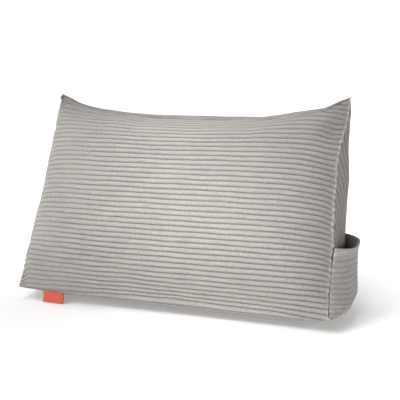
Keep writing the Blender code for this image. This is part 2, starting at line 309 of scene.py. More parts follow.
# Wales at the seams: where they start, swell, run out and lie flush
WALE_START = 0.003
EDGE_REACH = 0.012
CORNER_REACH = 0.026
LEFT_SWELL = 1.50
RIGHT_SWELL = -0.25
RIGHT_FLUSH = 0.90
RIGHT_FLUSH_REACH = 0.0055
LEFT_SOFTNESS = 0.28
LEFT_SOFT_START = 0.35
LEFT_SOFT_SPAN = 0.45

# Courses of the wales: how they waver, as (size, pace across, pace up, phase), where they
# start, their widest spacing in the right ear, and the hook of their ends at the left seam
WALE_WAVER = 0.0003
WAVER_TERMS = ((1.0, 41.0, 37.0, 0.0), (0.6, 93.0, -61.0, 1.3))
COURSE_START = 0.008
EAR_START = 0.78
EAR_SPAN = 0.10
EAR_FOOT = 0.84
EAR_FOOT_SPAN = 0.04
EAR_SPACING = 1.05
LEFT_HOOK = 1.15
LEFT_HOOK_REACH = 0.021
LEFT_HOOK_ENDS = 14.0

# Unevenness of the filling, and where it starts above the base and in from the side seams
UNDULATION = 0.0010
UNEVEN_Z = 0.012
UNEVEN_RISE = 0.05
UNEVEN_REACH = 0.03
REST_CLEAR = 0.006

# Pile: painted shade at the cross seams, at the right and in the right ear, which turn from the
# light, and a painted highlight at the right front seam that lightens the shadow in its crevice
SEAM_SHADE = 0.2
SEAM_SHADE_REACH = 0.0025
RIGHT_SHADE = 0.14
RIGHT_SHADE_START = 0.65
RIGHT_SHADE_SPAN = 0.30
EAR_SHADE = 0.42
EAR_SHADE_SPAN = 0.15
EAR_SHADE_Z = 0.300
EAR_SHADE_RISE = 0.05
SEAM_GLINT = 1.25
SEAM_GLINT_REACH = 0.0017
GLINT_LEAST = 0.3

# Smooth band along the ridge: its width, the channel sewn at its lower edge, and how it ends;
# its tone, with painted shade in the channel and, at the left ear, in the fold
BAND_WIDTH = 0.0090
BAND_LEFT_EXTRA = 0.0050
BAND_LEFT_START = 0.62
BAND_LEFT_SPAN = 0.15
BAND_CHANNEL = 0.0026
BAND_CHANNEL_REACH = 0.0018
BAND_CHANNEL_ENDS = 4.0
BAND_CHANNEL_LEFT_LOSS = 0.7
BAND_CHANNEL_SHADE = 0.9
BAND_FADE = 0.0015
BAND_END_POWER = 8.0
BAND_LEFT_END_POWER = 60.0
BAND_PILE = 0.80
BAND_LEFT_SHADE_TONE = 0.42

# Cut of the cloth that a panel is from, as the third value of its places on the cloth
PANEL_CUT_STEP = 0.7
SIDE_CUT = 3.1
POCKET_CUT = 5.3
LABEL_CUT = 7.0


def course(across, share):
    """How far a wale runs above its even share, at a place across and a share up."""
    total = np.zeros(np.broadcast(across, share).shape)
    for power, terms in zip(COURSE_POWERS, COURSE):
        for order, term in zip(SHARE_POWERS, terms):
            total = total + term * across ** power * share ** order
    for power, term in zip(FOOT_POWERS, FOOT_COURSE):
        total = total + term * across ** power * np.exp(-share / FOOT_REACH)
    return total / 1000.0


def drift(across, share):
    """How far a wale strays from its course, at a place across and a share up."""
    table = np.array(DRIFT) / 1000.0
    place = (across * np.abs(across))[:, :, None]
    columns, rows = np.linspace(-1.0, 1.0, table.shape[0]), np.linspace(0.0, 1.0, table.shape[1])
    near_across = np.exp(-((place - columns) / (columns[1] - columns[0])) ** 2)
    near_up = np.exp(-((share[:, :, None] - rows) / (rows[1] - rows[0])) ** 2)
    return np.einsum("nki,nmj,ij->nm", near_across, near_up, table)


def wale_courses(across, rows, length):
    """The rows' shares up the front in each section; the ridge cuts those that run past it."""
    share = np.array([row[0] for row in rows])[None, :]
    u = across[:, None]
    x = u * HALF_WIDTH
    waver = sum(size * np.sin(x * pace + share * climb + phase) for size, pace, climb, phase in WAVER_TERMS)
    start = smooth(share / COURSE_START)
    run = share + course(u, share) * start + waver * WALE_WAVER / length
    run = run + drift(u, run) * start
    steps = np.diff(run, axis=1)
    ear = ramp(u, EAR_START, EAR_SPAN) * ramp(share[:, 1:], EAR_FOOT, EAR_FOOT_SPAN)
    steps = steps - np.maximum(steps - EAR_SPACING * np.diff(share, axis=1), 0.0) * ear
    run = run[:, :1] + np.concatenate((np.zeros_like(u), np.cumsum(steps, axis=1)), axis=1)
    hook = smooth(1.0 - HALF_WIDTH * (1.0 + u) / LEFT_HOOK_REACH)
    hook = hook * smooth(share * LEFT_HOOK_ENDS) * smooth((1.0 - share) * LEFT_HOOK_ENDS)
    run = run - hook * LEFT_HOOK / FRONT_WALES
    last = 1.0 - CUT_STEP * np.arange(len(rows), 0, -1)[None, :]
    run = np.minimum(run, last)
    run[:, 0] = 0.0
    return run


def row_table():
    """Rows round the whole section: shares, crest heights and which panel each is on."""
    middle = np.array([0.0])
    back = back_curves(middle)[0][0]
    back_wales = np.hypot(*np.diff(back, axis=0).T).sum() / WALE_PITCH
    base_front = (REST_FRONT_Y - FRONT_SEAM_Y) / WALE_PITCH
    base_back = math.hypot(BACK_SEAM_Y - REST_BACK_Y, SEAM_Z) / WALE_PITCH
    seam = [(0.0, 0.0)]
    rest = [(1.0, 1.0)]
    first = (FRONT_WALES - FRONT_FIRST_GROOVE) % 1.0
    return {
        "front": seam + wale_rows(FRONT_WALES, first, FINE_PHASES),
        "back": seam + wale_rows(back_wales, FRONT_FIRST_GROOVE, COARSE_PHASES),
        "behind": seam + wale_rows(base_back, 1.0, BASE_PHASES) + rest,
        "ahead": wale_rows(base_front, 1.0, BASE_PHASES) + rest,
    }


def surface_normals(grid):
    """Unit normals of a grid of points, its rows running round a closed section."""
    along = np.gradient(grid, axis=0)
    around = np.roll(grid, -1, axis=1) - np.roll(grid, 1, axis=1)
    normals = np.cross(around, along)
    size = np.linalg.norm(normals, axis=2, keepdims=True)
    return normals / np.maximum(size, 1e-12)


def side_outline():
    """The side panel's outline at its seams, as (y, z) points without wales."""
    end = np.array([1.0])
    front = front_curves(end)[0][0][::OUTLINE_SKIP]
    back = back_curves(end)[0][0][::OUTLINE_SKIP]
    behind = base_curves(end, back_seam_points(end), REST_BACK_Y)[0][0][::OUTLINE_SKIP]
    ahead = base_curves(end, front_seam_points(end), REST_FRONT_Y)[0][0][::-OUTLINE_SKIP]
    return np.vstack((front[:-1], back[:-1], behind, ahead[:-1]))


def distance_to(points, ring):
    """Shortest distance from each point to a closed ring of (y, z) points."""
    start = ring[None, :, :]
    step = np.roll(ring, -1, axis=0)[None, :, :] - start
    offset = points[:, None, :] - start
    along = (offset * step).sum(axis=2) / (step * step).sum(axis=2)
    nearest = offset - np.clip(along, 0.0, 1.0)[:, :, None] * step
    return np.hypot(nearest[:, :, 0], nearest[:, :, 1]).min(axis=1)


SIDE_RING = side_outline()


def side_x(points):
    """How far out the right side panel lies at its (y, z) points, and how far in they are."""
    rise = (points[:, 1] - SEAM_Z) / (EAR_Z - SEAM_Z)
    gap = distance_to(points, SIDE_RING)
    inside = np.clip(gap / SIDE_ROLL, 0.0, 1.0)
    swell = SIDE_SWELL * np.exp(-((points[:, 1] - SIDE_SWELL_Z) / SIDE_SWELL_REACH) ** 2)
    crown = (SIDE_CROWN + swell) * (1.0 - (1.0 - inside) ** 2) ** SIDE_ROUND
    return HALF_WIDTH - draw_in(rise) + crown, gap


def front_seam_y(z):
    return FRONT_SEAM_Y + (z - SEAM_Z) * (BACK_SEAM_Y - FRONT_SEAM_Y) / (EAR_Z - SEAM_Z)


def bottom_seam_z(y):
    end = np.array([1.0])
    ahead = base_curves(end, front_seam_points(end), REST_FRONT_Y)[0][0]
    behind = base_curves(end, back_seam_points(end), REST_BACK_Y)[0][0][::-1]
    edge = np.vstack((ahead, behind))
    return np.interp(y, edge[:, 0], edge[:, 1])


# Side panels: spacing of the points along a wale, their clearance from the seams, the
# wales' depth and its least share at the seams, the pile tone with painted shade, and the unevenness
SIDE_POINT_STEP = 0.009
SIDE_EDGE_CLEAR = 0.0026
SIDE_WALE_DEPTH = 0.0038
SIDE_WALE_LEAST = 0.35
SIDE_FADE = 0.007
SIDE_SHADE_TONE = 0.52
SIDE_PILE_POWER = 1.5
SIDE_UNDULATION = UNDULATION * 1.3
SIDE_UNEVEN_SCALE = 1.4
MERGE_DISTANCE = 1e-7


def side_points():
    """Chains of points inside the side panel, along its wales, as (y, z, height)."""
    chains = []
    depth = BACK_SEAM_Y - FRONT_SEAM_Y
    slope = (EAR_Z - SEAM_Z) / depth
    for share, height in wale_rows(depth / WALE_PITCH, 0.0, FINE_PHASES):
        y = BACK_SEAM_Y - share * depth
        low = float(bottom_seam_z(y)) + SIDE_EDGE_CLEAR
        high = SEAM_Z + (y - FRONT_SEAM_Y) * slope - SIDE_EDGE_CLEAR * math.hypot(1.0, slope)
        if high - low < SIDE_EDGE_CLEAR:
            continue
        steps = max(2, round((high - low) / SIDE_POINT_STEP))
        chains.append([(y, low + (high - low) * i / steps, height) for i in range(steps + 1)])
    return chains


# How the cover is pulled out of its plain shape: lift of the ridge as (x, lift), reach of
# the left side and of the right front seam as (z, reach), and how far in each pull goes
RIDGE_LIFT = ((-0.300, 0.0030), (-0.285, 0.0034), (-0.262, 0.0004), (-0.240, 0.0006), (-0.195, 0.0022),
              (-0.150, 0.0016), (-0.090, 0.0004), (0.090, 0.0000), (0.125, -0.0020), (0.155, 0.0008),
              (0.195, 0.0040), (0.225, 0.0030), (0.250, 0.0004), (0.280, 0.0034), (0.300, 0.0012))
RIDGE_LIFT_REACH = 0.045
LEFT_REACH = ((0.000, 0.0030), (0.040, 0.0034), (0.090, 0.0030), (0.130, 0.0010), (0.170, 0.0012),
              (0.215, -0.0006), (0.255, 0.0026), (0.290, 0.0010), (0.330, 0.0030), (0.360, 0.0046),
              (0.385, 0.0010))
LEFT_REACH_WIDTH = 0.090
SEAM_REACH = ((0.030, 0.0010), (0.080, 0.0016), (0.115, 0.0032), (0.138, 0.0042), (0.165, 0.0022),
              (0.205, -0.0008), (0.235, -0.0016), (0.262, -0.0036), (0.285, -0.0045), (0.308, -0.0038),
              (0.332, 0.0002), (0.350, 0.0020), (0.391, 0.0005))
SEAM_REACH_WIDTH = 0.070
SEAM_REACH_DEPTH = 0.035


def pulled(points):
    """The points (x, y, z) after the cover's small pulls at its ridge and its side seams."""
    points = np.array(points)
    share = points[..., 0] / HALF_WIDTH
    ridge = ridge_points(np.clip(share, -1.0, 1.0).ravel())[:, 1].reshape(share.shape)
    near = 1.0 - smooth((ridge - points[..., 2]) / RIDGE_LIFT_REACH)
    lift = np.interp(points[..., 0], *zip(*RIDGE_LIFT)) * near
    left = smooth((LEFT_REACH_WIDTH - HALF_WIDTH - points[..., 0]) / LEFT_REACH_WIDTH)
    right = smooth((points[..., 0] - HALF_WIDTH + SEAM_REACH_WIDTH) / SEAM_REACH_WIDTH)
    right *= 1.0 - smooth((points[..., 1] - front_seam_y(points[..., 2])) / SEAM_REACH_DEPTH)
    points[..., 0] -= np.interp(points[..., 2], *zip(*LEFT_REACH)) * left
    points[..., 0] += np.interp(points[..., 2], *zip(*SEAM_REACH)) * right
    points[..., 2] += lift
    return points


def build_piece(name, points, faces, tone_shade_glint, cloth):
    """A mesh object at the origin with its pile tone, which can hold painted shade and painted highlights,
    and its place on the cloth.
    """
    mesh = bpy.data.meshes.new(name)
    made = bpy.data.objects.new(name, mesh)
    bpy.context.scene.collection.objects.link(made)
    mesh.from_pydata([tuple(p) for p in points], [], faces)
    work = bmesh.new()
    work.from_mesh(mesh)
    bmesh.ops.recalc_face_normals(work, faces=work.faces)
    work.to_mesh(mesh)
    work.free()
    mesh.shade_smooth()
    # The tone attribute: the pile height, with painted shade and painted highlights laid into it
    mesh.attributes.new("tone_shade_glint", "FLOAT", "POINT").data.foreach_set(
        "value", np.asarray(tone_shade_glint, np.float32))
    mesh.attributes.new("cloth", "FLOAT_VECTOR", "POINT").data.foreach_set(
        "vector", np.asarray(cloth, np.float32).ravel())
    return made


def puckers(place, mean, swing, wander, pace):
    """Uneven puckers along a seam, between mean - swing and mean + swing."""
    return mean + swing * np.sin(place * 2.0 * math.pi / PUCKER_PITCH + wander * np.sin(place * pace))


def pinch(depth, pucker, distance):
    """How far the cloth is drawn in at a distance from a seam."""
    return depth * pucker * np.exp(-(distance / SEAM_PINCH_REACH) ** SEAM_PINCH_POWER)


def section_rings(across, table):
    """Points (y, z, rise) round the sections, their panels' row counts and the front's length."""
    front, front_rise = front_curves(across)
    front_length = np.hypot(*np.diff(front, axis=1).T).sum(axis=0).mean()
    back, back_rise = back_curves(across)
    behind, flat = base_curves(across, back_seam_points(across), REST_BACK_Y)
    ahead, _ = base_curves(across, front_seam_points(across), REST_FRONT_Y)
    even = {key: np.tile([row[0] for row in table[key]], (len(across), 1)) for key in table}
    parts = [resample(front, front_rise, wale_courses(across, table["front"], front_length)),
             resample(back, back_rise, even["back"]),
             resample(behind, flat, even["behind"]),
             resample(ahead, flat, even["ahead"])[:, ::-1]]
    return np.concatenate(parts, axis=1), [part.shape[1] for part in parts], front_length


def along_sections(grid, seam_rows):
    """Each point's way round its section, and its distance from the nearest cross seam."""
    lengths = np.linalg.norm(np.diff(grid, axis=1, append=grid[:, :1]), axis=2)
    along = np.concatenate((np.zeros((len(grid), 1)), np.cumsum(lengths, axis=1)[:, :-1]), axis=1)
    total = along[:, -1:] + lengths[:, -1:]
    to_seam = np.full_like(along, 1.0)
    for row in seam_rows:
        off = np.abs(along - along[:, row:row + 1])
        to_seam = np.minimum(to_seam, np.minimum(off, total - off))
    return along, to_seam


def add_ridge_band(across, to_ridge, heights, lift):
    """Lay the smooth band and its sewn channel into the front's heights and lift; the heights also get
    painted shade in the channel and in the fold at the left ear.
    """
    power = np.where(across < 0.0, BAND_LEFT_END_POWER, BAND_END_POWER)
    band_share = (1.0 - np.abs(across) ** power)[:, None]
    leftness = ramp(-across, BAND_LEFT_START, BAND_LEFT_SPAN)[:, None]
    band = (BAND_WIDTH + BAND_LEFT_EXTRA * leftness) * band_share
    inside = smooth((band - to_ridge) / BAND_FADE)
    channel = np.exp(-((to_ridge - band) / BAND_CHANNEL_REACH) ** 2) * smooth(band_share * BAND_CHANNEL_ENDS)
    channel *= 1.0 - BAND_CHANNEL_LEFT_LOSS * leftness
    lift[:] = lift * (1.0 - inside) - BAND_CHANNEL * channel
    # Painted shade of the fold: the band's tone darkens towards the left ear
    fold = BAND_PILE + (BAND_LEFT_SHADE_TONE - BAND_PILE) * leftness * smooth(1.0 - to_ridge / BAND_WIDTH)
    heights += (fold - heights) * inside
    heights *= 1.0 - BAND_CHANNEL_SHADE * channel


def add_hollows(x, share, front_length, lift):
    """Press the hollows beside the side seams into the front's lift."""
    for side, centre, distance, deep, half, wide in HOLLOWS:
        place = (share - centre) * front_length
        off = HALF_WIDTH - side * x - distance
        lift -= deep * np.exp(-(place / half) ** 2 - (off / wide) ** 2)


def shaded_pile(across, z, heights, to_seam):
    """The pile's height with painted shade at the cross seams, and at the right end and in the right ear,
    which turn away from the light.
    """
    tone_shade_glint = heights * (1.0 - SEAM_SHADE + SEAM_SHADE * smooth(to_seam / SEAM_SHADE_REACH))
    tone_shade_glint = tone_shade_glint * (1.0 - RIGHT_SHADE * ramp(across, RIGHT_SHADE_START, RIGHT_SHADE_SPAN))[:, None]
    ear = EAR_SHADE * ramp(across, EAR_START, EAR_SHADE_SPAN)[:, None]
    return tone_shade_glint * (1.0 - ear * ramp(z, EAR_SHADE_Z, EAR_SHADE_RISE))


def side_panels(outline, seams):
    """Points, faces, pile tone with painted shade, and places on the cloth of both side panels, inside their
    seams.

    The panel is meshed once, on its plain outline. The two rings of seams hold the indices
    of the points on the left and on the right seam, and the panels' own points come after.
    """
    chains = side_points()
    inner = np.array([point for chain in chains for point in chain])
    edges = []
    first = len(outline)
    for chain in chains:
        edges += [(first + i, first + i + 1) for i in range(len(chain) - 1)]
        first += len(chain)
    flat_points = [Vector(point) for point in outline] + [Vector(point[:2]) for point in inner]
    result = delaunay_2d_cdt(flat_points, edges, [tuple(range(len(outline)))], 1, MERGE_DISTANCE)
    origins = [origin[0] for origin in result[3]]
    y, z, height = inner.T
    x_out, inside = side_x(inner[:, :2])
    fade = SIDE_WALE_LEAST + (1.0 - SIDE_WALE_LEAST) * smooth(inside / SIDE_FADE)
    wale = (height - 1.0) * SIDE_WALE_DEPTH * fade
    points, faces, tone_shade_glint, cloth = [], [], [], []
    own = seams[1][-1] + 1
    for side, ring in zip((-1.0, 1.0), seams):
        place = np.column_stack((np.full(len(inner), side * HALF_WIDTH), y, z))
        uneven = SIDE_UNDULATION * waves(place * SIDE_UNEVEN_SCALE, SOFT_WAVES)
        rise = wale + uneven * smooth(inside / UNEVEN_REACH)
        rise = rise - pinch(SIDE_PINCH, puckers(z, *SIDE_PANEL_PUCKERS), inside)
        points.append(pulled(np.column_stack((side * (x_out + rise), y, z))))
        # The side panel's tone is darker than the front's: painted shade of a side that faces away from the
        # light
        tone_shade_glint.append(SIDE_SHADE_TONE * height ** SIDE_PILE_POWER)
        cloth.append(np.column_stack((z, y, np.full(len(inner), SIDE_CUT + side))))
        to_point = np.concatenate((ring, own + np.arange(len(inner))))
        faces += [[int(to_point[origins[i]]) for i in face] for face in result[2]]
        own += len(inner)
    return points, faces, tone_shade_glint, cloth


def build_pillow():
    """The filled wedge: its panels round the section and its two sides, as one closed mesh."""
    across = column_shares()
    table = row_table()
    ring, counts, front_length = section_rings(across, table)
    starts = np.cumsum([0] + counts)
    front = slice(0, counts[0])
    grid = np.dstack((across[:, None] * (HALF_WIDTH - draw_in(ring[:, :, 2])), ring[:, :, 0], ring[:, :, 1]))
    normals = surface_normals(grid)
    normals *= np.sign((normals * (grid - grid.mean(axis=(0, 1)))).sum())
    along, to_seam = along_sections(grid, starts[:3])
    gap = HALF_WIDTH * (1.0 - np.abs(across))[:, None] * np.ones_like(along)

    # Wales, shallower at the seams, and running out at the corners
    heights = np.array([row[1] for key in ("front", "back", "behind") for row in table[key]]
                       + [row[1] for row in table["ahead"]][::-1])
    edge = 1.0 - smooth(gap / EDGE_REACH)
    corner = 1.0 - smooth(to_seam / CORNER_REACH)
    swell = np.where(across[:, None] < 0.0, LEFT_SWELL, RIGHT_SWELL)
    flush = RIGHT_FLUSH * (1.0 - smooth(gap / RIGHT_FLUSH_REACH)) * (across > 0.0)[:, None]
    depth = WALE_DEPTH * (1.0 + swell * edge) * (1.0 - edge * corner) * (1.0 - flush)
    depth = depth * smooth(to_seam / WALE_START)
    soften = 1.0 - LEFT_SOFTNESS * ramp(-across[:, None], LEFT_SOFT_START, LEFT_SOFT_SPAN) * (1.0 - edge)
    heights = 1.0 + (np.tile(heights, (len(across), 1)) - 1.0) * soften
    lift = (heights - 1.0) * depth

    # Ridge band, seam channels, hollows and the filling's unevenness; nothing moves where it rests
    to_ridge = along[:, starts[1]:starts[1] + 1] - along[:, front]
    add_ridge_band(across, to_ridge, heights[:, front], lift[:, front])
    lift = lift - pinch(SEAM_PINCH, puckers(grid[:, :, 0], *CROSS_SEAM_PUCKERS), to_seam)
    side_pucker = puckers(along, *SIDE_SEAM_PUCKERS)
    lift = lift - pinch(SIDE_PINCH, side_pucker, gap) * (1.0 - corner) * (1.0 - flush)
    share = np.array([row[0] for row in table["front"]])[None, :]
    add_hollows(grid[:, front, 0], share, front_length, lift[:, front])
    uneven = waves(grid, SOFT_WAVES) * ramp(grid[:, :, 2], UNEVEN_Z, UNEVEN_RISE) * smooth(gap / UNEVEN_REACH)
    lift = (lift + UNDULATION * uneven) * smooth(grid[:, :, 2] / REST_CLEAR)
    grid = grid + normals * lift[:, :, None]
    grid[:, :, 2] = np.maximum(grid[:, :, 2], 0.0)
    grid = pulled(grid)

    cut = np.concatenate([np.full(count, i * PANEL_CUT_STEP) for i, count in enumerate(counts)])
    cloth = np.dstack((grid[:, :, 0], along, np.tile(cut, (len(across), 1))))
    # Pile tone with painted shade at the cross seams, at the right end and in the right ear
    tone_shade_glint = shaded_pile(across, grid[:, :, 2], heights, to_seam)
    # Painted highlight along the right front seam, which lightens the shadow in its crevice
    glint = np.exp(-(gap / SEAM_GLINT_REACH) ** 2) * (GLINT_LEAST + (1.0 - GLINT_LEAST) * side_pucker)
    tone_shade_glint[:, front] += (SEAM_GLINT * (glint * (across > 0.0)[:, None]))[:, front]

    index = np.arange(along.size).reshape(along.shape)
    rolled = np.roll(index, -1, axis=1)
    faces = np.stack((index[:-1], index[1:], rolled[1:], rolled[:-1]), axis=2).reshape(-1, 4).tolist()
    side_place, side_faces, side_tone_and_shade, side_cloth = side_panels(ring[-1, :, :2], (index[0], index[-1]))
    return build_piece("pillow", np.vstack([grid.reshape(-1, 3)] + side_place), faces + side_faces,
                       np.concatenate([tone_shade_glint.ravel()] + side_tone_and_shade),
                       np.vstack([cloth.reshape(-1, 3)] + side_cloth))


# Pocket on the right side: its cloth and hem
POCKET_MOUTH_Z = 0.137
POCKET_THICKNESS = 0.0030
POCKET_SEWN_THINNING = 0.75
POCKET_WALE_DEPTH = 0.0014
POCKET_WALE_LEAST = 0.45
POCKET_FIRST_ROW = 0.3
POCKET_HEM_WALES = 1.5
POCKET_COLUMNS = 64
HEM_LIFT = 0.0006
HEM_CLEAR = 0.02
HEM_ROOT = 0.5
HEM_PROFILE = ((0.06, 0.75), (0.16, 0.92), (0.32, 1.0), (0.5, 1.0), (0.7, 1.0), (0.86, 0.97),
               (0.95, 0.86), (1.0, 0.62))

# How it sits on the side, how it is sewn in, and how far its mouth stands open
POCKET_SEAT = 0.0008
POCKET_SEAM_INSET = 0.0001
POCKET_SEAM_REACH = 0.030
POCKET_SEAM_TUCK = 0.0002
POCKET_FRONT_LAP = 0.0032
POCKET_GAPE = 0.0245
POCKET_BELLY = 0.0195
POCKET_FLARE_POWER = 5.0
POCKET_ACROSS_POWER = 4.5
POCKET_FLOOR_ROLL = 0.031
POCKET_FLOOR_POWER = 2.4
POCKET_FOOT_LIFT = 0.0095
POCKET_FOOT_POWER = 0.7
POCKET_FOOT_REACH = 0.045
POCKET_EDGE_FADE = 0.05
POCKET_DROOP = 0.0060
POCKET_UNDULATION = 0.0008
POCKET_UNEVEN_SCALE = 1.5
CRUMPLE = 0.0022
CRUMPLE_TOP = 0.16
CRUMPLE_PACE = 190.0
CRUMPLE_WANDER = 2.2
CRUMPLE_WANDER_PACE = 61.0

# Its pile tone: least and range outside, low as painted shade of a pocket that faces away from
# the light, the even tone inside, and a painted highlight at its front edge
POCKET_SHADE_TONE = 0.18
POCKET_SHADE_RANGE = 0.50
POCKET_INNER_PILE = 0.5
POCKET_GLINT_MEAN = 0.6
POCKET_GLINT_SWING = 0.4
POCKET_GLINT_PACE = 510.0


def pocket_rows():
    """Rows up the pocket as (share, crest height, hem share): wales, then the hem."""
    wales = POCKET_MOUTH_Z / WALE_PITCH
    hem_start = 1.0 - POCKET_HEM_WALES / wales
    rows = [(0.0, POCKET_FIRST_ROW, 0.0)]
    for share, height in wale_rows(wales, 0.5, FINE_PHASES):
        if share < hem_start - HEM_CLEAR / wales:
            rows.append((share, height, 0.0))
    rows.append((hem_start, HEM_ROOT, 0.0))
    for part, height in HEM_PROFILE:
        rows.append((hem_start + (1.0 - hem_start) * part, height, part))
    return rows


def pocket_grid(rows, outer):
    """A grid of pocket points (x, y, z) on its outer or inner face."""
    across = (1.0 - np.cos(np.linspace(0.0, math.pi, POCKET_COLUMNS + 1))) / 2.0
    to_edge = np.minimum(across, 1.0 - across)
    width = 1.0 - np.abs(2.0 * across - 1.0) ** POCKET_ACROSS_POWER
    sewn = 1.0 - smooth(to_edge / POCKET_SEAM_REACH)
    fade = smooth(to_edge / POCKET_EDGE_FADE)
    grid = []
    for up, height, hem in rows:
        ahead = front_seam_y(SEAM_Z + (POCKET_MOUTH_Z - SEAM_Z) * up) - POCKET_FRONT_LAP
        y = ahead + (BACK_SEAM_Y - POCKET_SEAM_INSET - ahead) * across
        low = bottom_seam_z(y) + POCKET_SEAM_INSET
        z = low + (POCKET_MOUTH_Z - low) * up
        lifted = POCKET_FOOT_LIFT * np.sin(math.pi * across) ** POCKET_FOOT_POWER
        z = z + lifted * (1.0 - smooth(up * POCKET_MOUTH_Z / POCKET_FOOT_REACH))
        rise = np.clip(up * POCKET_MOUTH_Z / POCKET_FLOOR_ROLL, 0.0, 1.0)
        floor = 1.0 - (1.0 - rise) ** POCKET_FLOOR_POWER
        depth = POCKET_BELLY + (POCKET_GAPE - POCKET_BELLY) * up ** POCKET_FLARE_POWER
        x = side_x(np.column_stack((y, z)))[0] + POCKET_SEAT + depth * width * floor
        x = x - (POCKET_SEAT + POCKET_SEAM_TUCK) * sewn
        place = np.column_stack((x, y, z))
        soft = POCKET_UNDULATION * waves(place * POCKET_UNEVEN_SCALE, SOFT_WAVES) * fade
        if outer:
            wale = (height - 1.0) * POCKET_WALE_DEPTH * (POCKET_WALE_LEAST + (1.0 - POCKET_WALE_LEAST) * fade)
            lift = POCKET_THICKNESS * (1.0 - POCKET_SEWN_THINNING * sewn) + wale + HEM_LIFT * (hem > 0.0)
            fold = np.sin(y * CRUMPLE_PACE + CRUMPLE_WANDER * np.sin(y * CRUMPLE_WANDER_PACE))
            x = x + lift + CRUMPLE * (1.0 - smooth(up / CRUMPLE_TOP)) * fold * fade
        x = x + soft
        droop = POCKET_DROOP * hem * np.sin(math.pi * across)
        grid.append(np.column_stack((x, y, z - droop)))
    return pulled(np.array(grid))


def sheet_faces(shape):
    """Faces of a sheet between two grids of this shape, closed round its four edges."""
    up_count, across_count = shape
    size = up_count * across_count
    index = np.arange(size).reshape(shape)
    quads = np.stack((index[:-1, :-1], index[:-1, 1:], index[1:, 1:], index[1:, :-1]), axis=2)
    faces = quads.reshape(-1, 4).tolist()
    faces += (quads.reshape(-1, 4)[:, ::-1] + size).tolist()
    rim = list(index[0]) + list(index[1:, -1]) + list(index[-1, -2::-1]) + list(index[-2:0:-1, 0])
    for here, after in zip(rim, rim[1:] + rim[:1]):
        faces.append([int(here), int(here) + size, int(after) + size, int(after)])
    return faces


def build_pocket():
    """The pocket: a ribbed sheet with a turned hem at its mouth, sewn in at three sides."""
    rows = pocket_rows()
    outer = pocket_grid(rows, True)
    inner = pocket_grid(rows, False)
    shape = outer.shape[:2]
    heights = np.array([row[1] for row in rows])[:, None] * np.ones(shape)
    edge = np.abs(outer[:, :, 1] - outer[:, :1, 1])
    glint = POCKET_GLINT_MEAN + POCKET_GLINT_SWING * np.sin(outer[:, :, 2] * POCKET_GLINT_PACE)
    glint = np.exp(-(edge / SEAM_GLINT_REACH) ** 2) * glint
    # Darker than the front as painted shade of the pocket, with a painted highlight at its front edge
    outer_tone_shade_glint = POCKET_SHADE_TONE + POCKET_SHADE_RANGE * heights + SEAM_GLINT * glint
    tone_shade_glint = np.concatenate((outer_tone_shade_glint.ravel(), np.full(heights.size, POCKET_INNER_PILE)))
    points = np.vstack((outer.reshape(-1, 3), inner.reshape(-1, 3)))
    cloth = np.column_stack((points[:, 1], points[:, 2], np.full(len(points), POCKET_CUT)))
    return build_piece("pocket", points, sheet_faces(shape), tone_shade_glint, cloth)


# Label in the front bottom seam, a ribbon folded double
LABEL_WIDTH = 0.044
LABEL_LENGTH = 0.041
LABEL_CENTRE_X = -0.2255
LABEL_TOP_Z = 0.0214
LABEL_BOTTOM_Z = 0.0008
LABEL_SWING = 0.004
LABEL_PLY = 0.00042
LABEL_GAP = 0.00012
LABEL_CURL = 0.0007
LABEL_CURL_PACE = 95.0
LABEL_CURL_PHASE = 0.6
LABEL_RIM_START = 0.93
LABEL_RIM_SPAN = 0.07
LABEL_COLUMNS = 18
LABEL_STEPS = 14
FOLD_STEPS = 7


def build_label():
    """The label: one ribbon down its front, round the fold and up its back."""
    radius = (LABEL_PLY + LABEL_GAP) / 2.0
    fold_z = LABEL_BOTTOM_Z + radius + LABEL_PLY / 2.0
    drop = LABEL_TOP_Z - fold_z
    down = np.linspace(0.0, 1.0, LABEL_STEPS + 1)
    angle = np.linspace(0.0, math.pi, FOLD_STEPS + 1)[1:-1]
    path = [(-radius, 1.0 - t, (-1.0, 0.0)) for t in down]
    path += [(-radius * math.cos(a), -radius * math.sin(a) / drop, (-math.cos(a), -math.sin(a)))
             for a in angle]
    path += [(radius, t, (1.0, 0.0)) for t in down]
    x = LABEL_CENTRE_X + np.linspace(-0.5, 0.5, LABEL_COLUMNS + 1) * LABEL_WIDTH
    wave = np.sin((x - LABEL_CENTRE_X) * LABEL_CURL_PACE + LABEL_CURL_PHASE)
    points = []
    for side in (0.5, -0.5):
        for off, height, normal in path:
            low = np.clip(1.0 - height, 0.0, 1.0)
            y = FRONT_SEAM_Y - LABEL_SWING * low * low + off + normal[0] * LABEL_PLY * side
            z = fold_z + drop * height + normal[1] * LABEL_PLY * side
            points.append(np.column_stack((x, y - LABEL_CURL * low * wave, np.full_like(x, z))))
    points = np.vstack(points)
    shape = (len(path), len(x))
    way = np.repeat(np.linspace(0.0, LABEL_LENGTH, shape[0]), shape[1])
    cloth = np.column_stack((points[:, 0], np.tile(way, 2), np.full(len(points), LABEL_CUT)))
    rim = np.abs(points[:, 0] - LABEL_CENTRE_X) / (LABEL_WIDTH / 2.0)
    tone_shade_glint = 1.0 - ramp(rim, LABEL_RIM_START, LABEL_RIM_SPAN)
    return build_piece("label_ribbon", points, sheet_faces(shape), tone_shade_glint, cloth)


